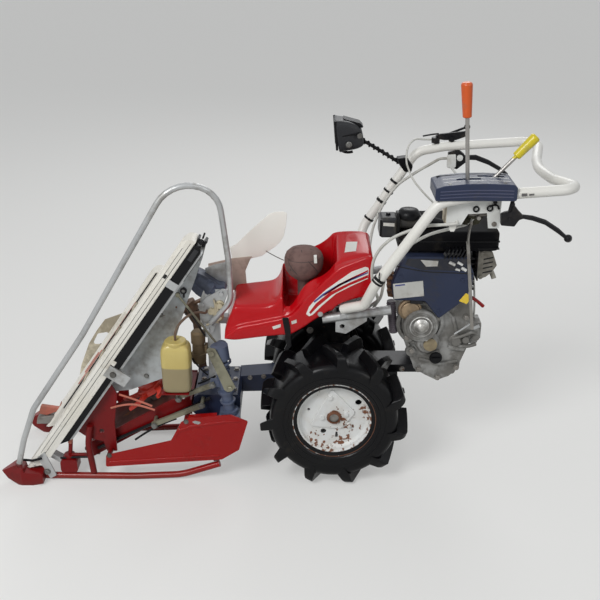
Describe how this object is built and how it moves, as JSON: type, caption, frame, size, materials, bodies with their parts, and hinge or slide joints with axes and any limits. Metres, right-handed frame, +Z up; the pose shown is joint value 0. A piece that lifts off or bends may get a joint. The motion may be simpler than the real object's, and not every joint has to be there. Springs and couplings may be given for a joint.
{
  "type": "reaper binder",
  "caption": "Walk-behind reaper binder: wheeled power unit with handlebar, and a front header with crop lifters, star wheel, knotter, twine case and discharge rotor.",
  "frame": {"origin": "on the ground under the axle, midway between the wheels", "axes": "+X forward, towards the dividers; +Y to the machine's left; +Z up"},
  "size_m": [1.5378, 0.544, 1.1307],
  "materials": {
    "red_paint": "worn gloss paint",
    "dark_red_paint": "worn satin paint",
    "white_paint": "satin paint",
    "cream_plastic": "faded",
    "red_plastic": "dusty gloss",
    "black_plastic": "satin",
    "black_paint": "oily satin",
    "navy_paint": "satin paint",
    "blue_grey_cast": "painted casting",
    "zinc": "zinc plated",
    "bare_steel": "lightly rusted",
    "aluminium": "as cast",
    "tyre_rubber": "dusty",
    "rim_paint": "rust at the flange",
    "twine": "wound twine",
    "bottle_plastic": "translucent",
    "orange_knob": "smooth",
    "yellow_knob": "smooth",
    "matte_sheath": "cable sheath",
    "rubber_hose": "dull",
    "exhaust": "heat stained"
  },
  "bodies": {
    "chassis": {"air_cleaner": "black_plastic", "blower_housing": "navy_paint", "bottle_hose": "rubber_hose", "carburettor": "aluminium", "clutch_lever_left": "black_paint", "clutch_lever_right": "black_paint", "control_cables": "matte_sheath", "control_panel": "white_paint", "crop_guide_rod": "zinc", "cutter_bar": "bare_steel", "deck_plate": "dark_red_paint", "discharge_stand": "dark_red_paint", "divider_left": "dark_red_paint", "divider_right": "dark_red_paint", "drive_column": "blue_grey_cast", "drive_housing": "navy_paint", "drive_links": "zinc", "engine_bed": "black_paint", "engine_crankcase": "aluminium", "engine_cylinder": "black_paint", "fuel_tank": "black_paint", "handle_base": "zinc", "handlebar": "white_paint", "header_frame": "dark_red_paint", "header_side_panel": "white_paint", "knotter_housing": "blue_grey_cast", "knotter_post": "zinc", "lever_box": "navy_paint", "lifter_back_left": "zinc", "lifter_back_right": "zinc", "lifter_brackets": "zinc", "lifter_case_left": "black_plastic", "lifter_case_right": "black_plastic", "lifter_cover_left": "white_paint", "lifter_cover_right": "white_paint", "lifter_tines_left": "cream_plastic", "lifter_tines_right": "cream_plastic", "main_shift_lever": "orange_knob", "muffler": "exhaust", "oil_bottle": "bottle_plastic", "right_cover_panel": "cream_plastic", "side_skirt": "red_paint", "skid_rail_left": "dark_red_paint", "skid_rail_right": "dark_red_paint", "speed_lever": "yellow_knob", "star_spindle": "bare_steel", "throttle_lever": "black_paint", "transmission_case": "black_paint", "twine_ball": "twine", "twine_case": "red_plastic", "upper_guide_wing": "white_paint", "work_lamp": "black_plastic"},
    "wheel_left": {"tyre_left": "tyre_rubber", "rim_left": "rim_paint", "axle_left": "bare_steel"},
    "wheel_right": {"tyre_right": "tyre_rubber", "rim_right": "rim_paint", "axle_right": "bare_steel"},
    "star_wheel": {"star_wheel": "red_plastic"},
    "discharge_rotor": {"discharge_arms": "dark_red_paint"}
  },
  "joints": [
    {"name": "wheel_left_spin", "type": "hinge", "parent": "chassis", "child": "wheel_left", "pos_m": [0, 0.15, 0.206], "axis": [0, 1, 0], "continuous": true},
    {"name": "wheel_right_spin", "type": "hinge", "parent": "chassis", "child": "wheel_right", "pos_m": [0, -0.15, 0.206], "axis": [0, 1, 0], "continuous": true},
    {"name": "star_wheel_spin", "type": "hinge", "parent": "chassis", "child": "star_wheel", "pos_m": [0.51583, 0.07, 0.22082], "axis": [0.4924, 0, 0.8704], "continuous": true},
    {"name": "discharge_spin", "type": "hinge", "parent": "chassis", "child": "discharge_rotor", "pos_m": [0.42, -0.075, 0.42], "axis": [0.4924, 0, 0.8704], "continuous": true}
  ]
}
